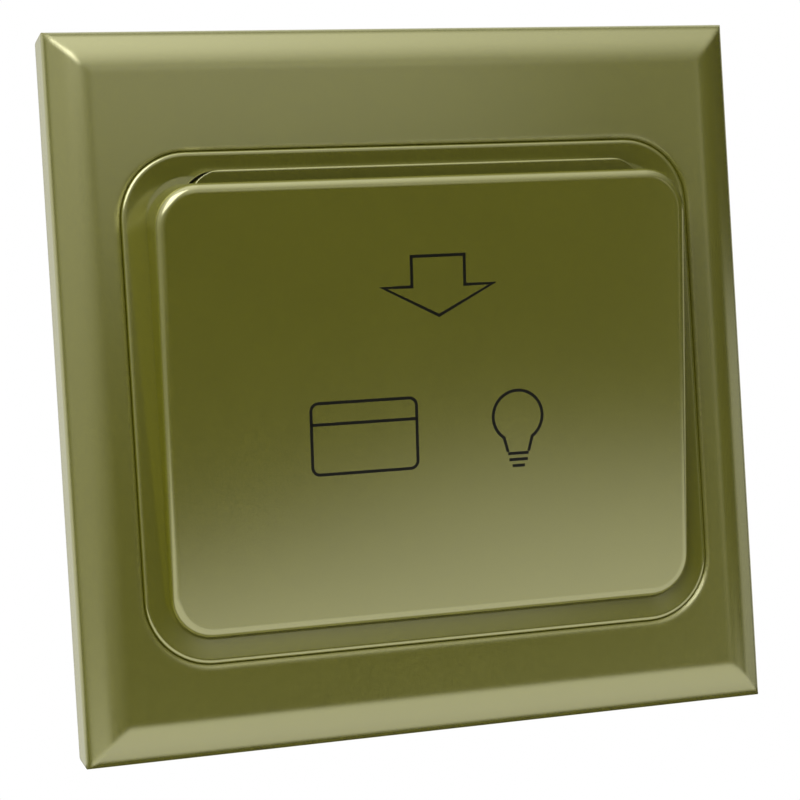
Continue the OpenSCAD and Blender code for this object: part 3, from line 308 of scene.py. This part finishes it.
# Other board parts: small ceramic parts, two capacitors, a varistor, a fuse and a crystal in a plated can.
# Each is bought ready made and soldered down.
# Glazed ceramic gives the eye a smooth tan with a soft shine.
glazed_ceramic = moulded("glazed_ceramic", "#b79f78", "#9c8560",
                         grain=0.2, depth=0.004, edge=0.08, roughness=0.35, ior=1.6)
dress(glazed_ceramic, "reader_passives", "power_passives")
# A polypropylene box gives the eye a plain deep yellow with a dull gloss.
yellow_box = moulded("yellow_polypropylene_box", "#cfa527", "#b98f1d",
                     grain=0.5, depth=0.006, edge=0.3, roughness=0.35, ior=1.5)
dress(yellow_box, "film_capacitor")
# A shrunk sleeve gives the eye a soft, slightly wavy gloss that is nearly black.
shrink_sleeve = moulded("black_shrink_sleeve", "#202226", "#2b2d33",
                        grain=0.6, depth=0.006, edge=0.2, roughness=0.3, ior=1.53)
dress(shrink_sleeve, "bulk_capacitor")
dress(blue_polyester, "varistor")
dress(black_acetal, "fuse")
dress(zinc_steel, "crystal")

# Card lever and snap switch: the card pushes the lever back, and the lever presses the switch's button.
# The lever and the switch case are black mouldings, and the domed plunger is red acetal.
# The lever turns on its pin, and the button slides in the case.
dress(black_acetal, "card_lever", "switch_case")
# Polished acetal gives the eye a bright, waxy red.
red_acetal = moulded("red_acetal", "#a3281f", "#8c2019",
                     grain=0.3, depth=0.004, edge=0.1, roughness=0.3, ior=1.48)
dress(red_acetal, "switch_button")

# Painted front: face frame, insert ring, card cover and the card tray behind it.
# They are ABS mouldings sprayed with a pearl champagne gold paint. The tray is screwed to the base plate.
# The other three are staked together from behind, and the frame's four split pegs plug into the plate.
GOLD = "#686814"
GOLD_DEEP = "#616111"
GOLD_WORN = "#8f8a45"
PEARL_SHINE = "#fffdd0"
PEARL_IOR = 3.4
PAINT_GRAIN = 0.3 * MM
PAINT_DEPTH = 0.006 * MM
PAINT_CLOUD = 14 * MM
FLECK = (0.88, 1.12)
FLECK_BAND = (0.3, 0.7)
WORN_SHARE = 0.35
WORN_BEND = (0.98, 0.85)
FRAME_EDGE = 0.9 * MM
COVER_EDGE = 0.22 * MM
FRAME_SATIN = (0.16, 0.24)
COVER_SATIN = (0.11, 0.17)


def gold_paint(name, edge, satin):
    """The sprayed paint, on edges rounded by this much, between these two roughnesses."""
    material, tree, place = new_material(name)
    cloud = add(tree, "TexNoise", {"Scale": 1 / PAINT_CLOUD, "Detail": 3.0}, {"Vector": place})
    grain = add(tree, "TexNoise", {"Scale": 1 / PAINT_GRAIN, "Detail": 2.0, "Roughness": 0.6},
                {"Vector": place})
    tone = add(tree, "Mix", {"data_type": "RGBA", 6: linear(GOLD), 7: linear(GOLD_DEEP)},
               {0: cloud.outputs["Fac"]})
    speck = add(tree, "MapRange", {"From Min": FLECK_BAND[0], "From Max": FLECK_BAND[1],
                                   "To Min": FLECK[0], "To Max": FLECK[1]}, {"Value": grain.outputs["Fac"]})
    flecked = add(tree, "Mix", {"data_type": "RGBA", "blend_type": "MULTIPLY", 0: 1.0},
                  {6: tone.outputs[2], 7: speck.outputs["Result"]})
    corner = add(tree, "Bevel", {"samples": 6, "Radius": edge})
    bend = add(tree, "VectorMath", {"operation": "DOT_PRODUCT"},
               {0: corner.outputs["Normal"], 1: add(tree, "NewGeometry").outputs["Normal"]})
    worn = add(tree, "MapRange", {"From Min": WORN_BEND[0], "From Max": WORN_BEND[1],
                                  "To Min": 0.0, "To Max": WORN_SHARE}, {"Value": bend.outputs["Value"]})
    rubbed = add(tree, "Mix", {"data_type": "RGBA", 7: linear(GOLD_WORN)},
                 {0: worn.outputs["Result"], 6: flecked.outputs[2]})
    gloss = add(tree, "MapRange", {"To Min": satin[0], "To Max": satin[1]}, {"Value": grain.outputs["Fac"]})
    bump = add(tree, "Bump", {"Strength": 0.35, "Distance": PAINT_DEPTH},
               {"Height": grain.outputs["Fac"], "Normal": corner.outputs["Normal"]})
    paint = add(tree, "BsdfPrincipled", {"IOR": PEARL_IOR, "Specular Tint": linear(PEARL_SHINE)}, {
        "Base Color": rubbed.outputs[2], "Roughness": gloss.outputs["Result"],
        "Normal": bump.outputs["Normal"]})
    add(tree, "OutputMaterial", None, {"Surface": paint.outputs["BSDF"]})
    return material


# Mica coated with titania lies flat in the lacquer, so the paint gives the eye a strong, pale, satin
# reflection over a saturated olive gold. Its IOR is raised until one surface reflects as much as those
# layers do on the real part. The spray leaves a fine grain, drawn coarser than it is so that it shows,
# and the paint is a little paler along rubbed edges.
dress(gold_paint("pearl_champagne_gold_frame", FRAME_EDGE, FRAME_SATIN), "face_frame")
dress(gold_paint("pearl_champagne_gold_cover", COVER_EDGE, COVER_SATIN),
      "insert_ring", "card_cover", "card_tray")

# Print on the cover: an outlined arrow that shows the way a card goes in, and two plain signs below it.
# It is black ink, screen printed on the paint in one pass.
# Every line lies on the cover's leaning face and rides with it.
LINE = 0.36 * MM
INK_RISE = 0.012 * MM
INK_SINK = 0.02 * MM
SHARPEST_MITRE = 0.35
PRINT_SHIFT = 0.65 * MM
ARROW_TOP = 43.2 * MM
ARROW_NECK = 39.65 * MM
ARROW_TIP = 36.15 * MM
ARROW_SHAFT = 3.25 * MM
ARROW_HEAD = 6.75 * MM
SIGN_HEIGHT = 22.4 * MM
SIGN_APART = 9.5 * MM
CARD_SIGN = (6.4 * MM, 4.2 * MM)
CARD_CORNER = 0.9 * MM
CARD_CORNER_STEPS = 6
STRIPE_Y = SIGN_HEIGHT + 1.7 * MM
BULB_R = 3.1 * MM
BULB_Y = SIGN_HEIGHT + 1.2 * MM
BULB_ARC = (-55, 235)
BULB_STEPS = 32
BULB_NECK = 1.3 * MM
NECK_Y = SIGN_HEIGHT - 3.1 * MM
CAP_DROP = 0.2 * MM
CAP_STEP = 0.75 * MM
CAP_SHARES = (1.0, 0.9, 0.6)
FACES_ROOM = -0.98

# Screen ink gives the eye a dense satin black with a slightly uneven film.
black_ink = moulded("black_screen_ink", "#0a0a04", "#12120a",
                    grain=0.3, depth=0.004, edge=0.02, roughness=0.3, ior=1.36)

cover = nodes["card_cover"].data
cover_face = max((p for p in cover.polygons if p.normal.y < FACES_ROOM), key=lambda p: p.area)
out = cover_face.normal.normalized()
right = Vector((1, 0, 0))
up = right.cross(out) * -1
foot = cover.vertices[cover_face.vertices[0]].co
foot = foot + up * ((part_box("card_cover")[0].z - foot.z) / up.z)
foot.x = 0


def arc(centre, radius, start, end, steps):
    """Points on an arc, with angles in degrees."""
    turns = [radians(start + (end - start) * i / steps) for i in range(steps + 1)]
    return [(centre[0] + radius * cos(a), centre[1] + radius * sin(a)) for a in turns]


def ink_line(name, points, closed):
    """A printed line of even width along points on the cover, as a closed low ridge."""
    count = len(points)
    flat = [Vector(p) for p in points]
    rails = []
    for i, here in enumerate(flat):
        before = flat[i - 1] if closed or i else None
        after = flat[(i + 1) % count] if closed or i < count - 1 else None
        ways = [(b - a).normalized() for a, b in ((before, here), (here, after)) if a and b]
        way = sum(ways, Vector((0, 0))).normalized()
        side = Vector((-way.y, way.x))
        stretch = 1 / max(SHARPEST_MITRE, side.dot(Vector((-ways[0].y, ways[0].x))))
        rails.append((here + side * stretch * LINE / 2, here - side * stretch * LINE / 2))
    verts = []
    for left, away in rails:
        for spot, lift in ((left, -INK_SINK), (left, INK_RISE), (away, INK_RISE), (away, -INK_SINK)):
            verts.append(foot + right * (PRINT_SHIFT + spot.x) + up * spot.y + out * lift)
    quads = []
    for i in range(count if closed else count - 1):
        j = (i + 1) % count
        quads += [(4 * i + k, 4 * j + k, 4 * j + (k + 1) % 4, 4 * i + (k + 1) % 4) for k in range(4)]
    if not closed:
        quads += [(0, 1, 2, 3), tuple(4 * count - 1 - k for k in range(4))]
    mesh = bpy.data.meshes.new(name)
    mesh.from_pydata(verts, [], quads)
    mesh.materials.append(black_ink)
    piece = bpy.data.objects.new(name, mesh)
    bpy.context.scene.collection.objects.link(piece)
    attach(piece, "front")


ink_line("arrow_print", [
    (-ARROW_SHAFT, ARROW_TOP), (ARROW_SHAFT, ARROW_TOP), (ARROW_SHAFT, ARROW_NECK),
    (ARROW_HEAD, ARROW_NECK), (0, ARROW_TIP), (-ARROW_HEAD, ARROW_NECK), (-ARROW_SHAFT, ARROW_NECK)], True)

card_x, card_y = CARD_SIGN[0] - CARD_CORNER, CARD_SIGN[1] - CARD_CORNER
card_outline = []
for quarter, (i, j) in enumerate(((1, 1), (-1, 1), (-1, -1), (1, -1))):
    centre = (-SIGN_APART + i * card_x, SIGN_HEIGHT + j * card_y)
    card_outline += arc(centre, CARD_CORNER, 90 * quarter, 90 * quarter + 90, CARD_CORNER_STEPS)
ink_line("card_sign_outline_print", card_outline, True)
ink_line("card_sign_stripe_print",
         [(-SIGN_APART - CARD_SIGN[0], STRIPE_Y), (-SIGN_APART + CARD_SIGN[0], STRIPE_Y)], False)

bulb_outline = arc((SIGN_APART, BULB_Y), BULB_R, *BULB_ARC, BULB_STEPS)
ink_line("bulb_sign_glass_print",
         [(SIGN_APART + BULB_NECK, NECK_Y), *bulb_outline, (SIGN_APART - BULB_NECK, NECK_Y)], False)
for step, share in enumerate(CAP_SHARES):
    cap_y = NECK_Y - CAP_DROP - CAP_STEP * step
    reach = BULB_NECK * share
    ink_line("bulb_sign_cap_print_%d" % (step + 1),
             [(SIGN_APART - reach, cap_y), (SIGN_APART + reach, cap_y)], False)

# Studio paper: a pale floor well below the part and a white backdrop behind it.
# The part hangs as on its wall, so the floor shows in its lower slopes and throws light up on it.
FLOOR_PAPER = "#f2eee2"
FLOOR_MOTTLE = "#ebe6d8"
BACKDROP_PAPER = "#e8e8e4"
BACKDROP_MOTTLE = "#e2e2de"
WHITE = "#ffffff"
MOTTLE = 166.667 * MM
FLOOR_Z = -0.25
FLOOR_FRONT = -1.25
FLOOR_BACK = 0.9
FLOOR_HALF = 1.05
WALL_BLUR = 0.02
FADE_START = -0.53
FADE_LEFT = (0.08, -0.76)
FADE_RIGHT = (0.28, -0.95)
FADED = 0.04
BACKDROP_Y = 0.75
BACKDROP_HALF = 1.1


def sheet(name, corners, material):
    """A flat four-cornered sheet of the studio."""
    mesh = bpy.data.meshes.new(name)
    mesh.from_pydata(corners, [], [(0, 1, 2, 3)])
    mesh.materials.append(material)
    piece = bpy.data.objects.new(name, mesh)
    bpy.context.scene.collection.objects.link(piece)


def paper(name, colour, shade, *rays):
    """Matt paper with faint mottling, which is plain white to these kinds of ray.
    Gives the material, the place of a point on it, and the white."""
    material, tree, place = new_material(name)
    mottle = add(tree, "TexNoise", {"Scale": 1 / MOTTLE, "Detail": 4.0}, {"Vector": place})
    tone = add(tree, "Mix", {"data_type": "RGBA", 6: linear(colour), 7: linear(shade)},
               {0: mottle.outputs["Fac"]})
    matt = add(tree, "BsdfDiffuse", None, {"Color": tone.outputs[2]})
    white = add(tree, "Emission", {"Color": linear(WHITE), "Strength": 1.0})
    path = add(tree, "LightPath")
    seen = path.outputs[rays[0]]
    for ray in rays[1:]:
        seen = add(tree, "Math", {"operation": "MAXIMUM"}, {0: seen, 1: path.outputs[ray]}).outputs["Value"]
    either = add(tree, "MixShader", None, {0: seen, 1: matt.outputs["BSDF"], 2: white.outputs["Emission"]})
    add(tree, "OutputMaterial", None, {"Surface": either.outputs["Shader"]})
    return material, place, white


# The floor keeps its shadows for the camera. In reflections it is white before the wall, a painted
# reflection, and has painted shade behind it. The painted white fades towards the front, later on the right,
# to match the light on the real cover.
floor_paper, place, white = paper(
    "pale_floor_paper", FLOOR_PAPER, FLOOR_MOTTLE, "Is Glossy Ray", "Is Transmission Ray")
tree = floor_paper.node_tree
spot = add(tree, "SeparateXYZ", None, {"Vector": place})
# Painted shade: behind the wall the floor's white in reflections drops to the faded level.
painted_wall_shade = add(tree, "MapRange", {"From Min": WALL_BLUR, "From Max": -WALL_BLUR, "To Min": FADED},
                  {"Value": spot.outputs["Y"]})
# Painted reflection: the white fades towards the front, from a start that moves with x.
far = add(tree, "MapRange", {"From Min": FADE_LEFT[0], "To Min": FADE_LEFT[1],
                             "From Max": FADE_RIGHT[0], "To Max": FADE_RIGHT[1]},
          {"Value": spot.outputs["X"]})
painted_reflection_fade = add(tree, "MapRange", {"From Max": FADE_START, "To Min": FADED},
           {"Value": spot.outputs["Y"], "From Min": far.outputs["Result"]})
painted_reflection_strength = add(tree, "Math", {"operation": "MULTIPLY"},
            {0: painted_wall_shade.outputs["Result"], 1: painted_reflection_fade.outputs["Result"]})
tree.links.new(painted_reflection_strength.outputs["Value"], white.inputs["Strength"])
sheet("floor", [(-FLOOR_HALF, FLOOR_FRONT, FLOOR_Z), (FLOOR_HALF, FLOOR_FRONT, FLOOR_Z),
                (FLOOR_HALF, FLOOR_BACK, FLOOR_Z), (-FLOOR_HALF, FLOOR_BACK, FLOOR_Z)], floor_paper)

# The backdrop is white to the camera too.
backdrop_paper = paper("white_backdrop_paper", BACKDROP_PAPER, BACKDROP_MOTTLE,
                       "Is Camera Ray", "Is Glossy Ray", "Is Transmission Ray")[0]
sheet("backdrop", [(-BACKDROP_HALF, BACKDROP_Y, -BACKDROP_HALF), (BACKDROP_HALF, BACKDROP_Y, -BACKDROP_HALF),
                   (BACKDROP_HALF, BACKDROP_Y, BACKDROP_HALF), (-BACKDROP_HALF, BACKDROP_Y, BACKDROP_HALF)],
      backdrop_paper)


# Studio lamps: a large soft key from the upper left, and three weak ones from the front and the right.
# They are plain white boxes that face the part.
def softbox(name, place, width, height, watts):
    """A soft lamp that faces the part and stays out of the picture."""
    lamp = bpy.data.lights.new(name, "AREA")
    lamp.shape = "RECTANGLE"
    lamp.size = width
    lamp.size_y = height
    lamp.energy = watts
    piece = bpy.data.objects.new(name, lamp)
    piece.location = place
    piece.rotation_euler = (-Vector(place)).to_track_quat("-Z", "Y").to_euler()
    piece.visible_camera = False
    bpy.context.scene.collection.objects.link(piece)


softbox("key_softbox", place=(-0.65, -0.85, 0.8), width=0.95, height=0.95, watts=8.6)
softbox("front_softbox", place=(0.24, -1.15, 0.28), width=0.4, height=0.35, watts=0.11)
softbox("right_softbox", place=(1.0, 0.12, -0.205), width=0.6, height=0.5, watts=0.48)
softbox("low_right_softbox", place=(0.674, -1.1, -0.02), width=0.14, height=0.53, watts=0.08)

# Studio air: it grows brighter overhead and to the left, as under a lit ceiling beside a window,
# and is dimmer to the right and behind the wall. Seen straight on it is plain white.
SKY_FOOT = -0.06
SKY_TOP = 1.5
SKY_CURVE = 1.3
DIM_FROM = 0.1
DIM_TO = 0.9
DIM_SHARE = 0.15
WINDOW_FROM = 0.1
WINDOW_TO = -1.0
WINDOW = 0.34
AIR = 0.035
BEHIND_FROM = 0.05
BEHIND_TO = 0.45
BEHIND_SHARE = 0.25
world = bpy.data.worlds.new("studio_air")
world.use_nodes = True
bpy.context.scene.world = world
tree = world.node_tree
tree.nodes.clear()
way = add(tree, "SeparateXYZ", None, {"Vector": add(tree, "TexCoord").outputs["Generated"]})
rise = add(tree, "MapRange", {"From Min": SKY_FOOT}, {"Value": way.outputs["Z"]})
curve = add(tree, "Math", {"operation": "POWER", 1: SKY_CURVE}, {0: rise.outputs["Result"]})
dim = add(tree, "MapRange", {"From Min": DIM_FROM, "From Max": DIM_TO,
                             "To Min": SKY_TOP, "To Max": SKY_TOP * DIM_SHARE}, {"Value": way.outputs["X"]})
overhead = add(tree, "Math", {"operation": "MULTIPLY"},
               {0: curve.outputs["Value"], 1: dim.outputs["Result"]})
window = add(tree, "MapRange", {"From Min": WINDOW_FROM, "From Max": WINDOW_TO,
                                "To Min": AIR, "To Max": WINDOW}, {"Value": way.outputs["X"]})
glow = add(tree, "Math", {"operation": "ADD"}, {0: overhead.outputs["Value"], 1: window.outputs["Result"]})
behind = add(tree, "MapRange", {"From Min": BEHIND_FROM, "From Max": BEHIND_TO,
                                "To Min": 1.0, "To Max": BEHIND_SHARE}, {"Value": way.outputs["Y"]})
strength = add(tree, "Math", {"operation": "MULTIPLY"},
               {0: glow.outputs["Value"], 1: behind.outputs["Result"]})
air = add(tree, "Background", {"Color": linear(WHITE)}, {"Strength": strength.outputs["Value"]})
plain = add(tree, "Background", {"Color": linear(WHITE), "Strength": 1.0})
path = add(tree, "LightPath")
seen = add(tree, "Math", {"operation": "MAXIMUM"},
           {0: path.outputs["Is Camera Ray"], 1: path.outputs["Is Transmission Ray"]})
either = add(tree, "MixShader", None, {
    0: seen.outputs["Value"], 1: air.outputs["Background"], 2: plain.outputs["Background"]})
add(tree, "OutputWorld", None, {"Surface": either.outputs["Shader"]})

# Camera: left of the part and level with it, at the photograph's angle and distance.
# The lens, in millimetres, is worked out for a square picture on this sensor.
SENSOR = 36
FOCAL_LENGTH = 89.05
CAMERA_PLACE = (-67.7 * MM, -236.4 * MM, 1.6 * MM)
CAMERA_TURN = (89.08, 3.435, -15.831)
lens = bpy.data.cameras.new("camera")
lens.sensor_width = SENSOR
lens.lens = FOCAL_LENGTH
camera = bpy.data.objects.new("camera", lens)
camera.location = CAMERA_PLACE
camera.rotation_euler = [radians(a) for a in CAMERA_TURN]
bpy.context.scene.collection.objects.link(camera)
bpy.context.scene.camera = camera
bpy.context.scene.view_settings.view_transform = "Standard"
